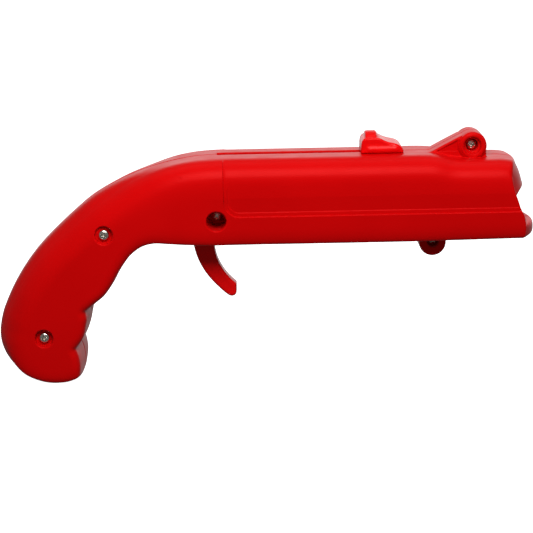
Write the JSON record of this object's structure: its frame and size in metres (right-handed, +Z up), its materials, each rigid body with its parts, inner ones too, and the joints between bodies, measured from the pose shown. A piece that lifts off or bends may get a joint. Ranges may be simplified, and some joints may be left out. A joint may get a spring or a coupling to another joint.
{
  "type": "bottle cap launcher opener",
  "caption": "Pistol-shaped crown-cap opener and cap launcher: two moulded plastic shells, sprung cocking slide with thumb knob, hinged trigger and an open cap mouth at the muzzle.",
  "frame": {"origin": "centre of the bounding box in X and Y, at the lowest point of the grip's butt", "axes": "+X along the barrel towards the muzzle, +Z up as the object is drawn, y = 0 on the seam between the shells; the side with the screw heads faces -Y"},
  "size_m": [0.191, 0.036, 0.0878],
  "materials": {
    "red_shell": "glossy red ABS",
    "red_inner": "satin red plastic",
    "screw_steel": "bright zinc plate",
    "spring_steel": "drawn wire",
    "plate_steel": "blanked sheet",
    "bumper_rubber": "matte"
  },
  "bodies": {
    "frame": {"right_shell": "red_shell", "left_shell": "red_shell", "screw_grip_low": "screw_steel", "screw_grip_high": "screw_steel", "screw_trigger": "screw_steel", "screw_top_ear": "screw_steel", "screw_bottom_ear": "screw_steel", "mainspring": "spring_steel", "spring_guide": "spring_steel", "trigger_bush": "screw_steel", "trigger_spring": "spring_steel", "opener_plate": "plate_steel", "plate_screw_right": "screw_steel", "plate_screw_left": "screw_steel", "bumper_right": "bumper_rubber", "bumper_left": "bumper_rubber"},
    "slide": {"cocking_knob": "red_shell", "knob_screw": "screw_steel", "striker": "red_inner", "spring_washer": "screw_steel"},
    "trigger": {"trigger": "red_shell"}
  },
  "joints": [
    {"name": "cocking_slide", "type": "slide", "parent": "frame", "child": "slide", "axis": [1, 0, 0], "range_m": [-0.05, 0], "stiffness_N_per_m": 110, "springref_m": 0.02, "deforming": ["mainspring"]},
    {"name": "trigger_pull", "type": "hinge", "parent": "frame", "child": "trigger", "pos_m": [-0.0162, 0, 0.05975], "axis": [0, 1, 0], "range_deg": [-5, 12], "stiffness_Nm_per_rad": 0.12, "deforming": ["trigger_spring"]}
  ]
}
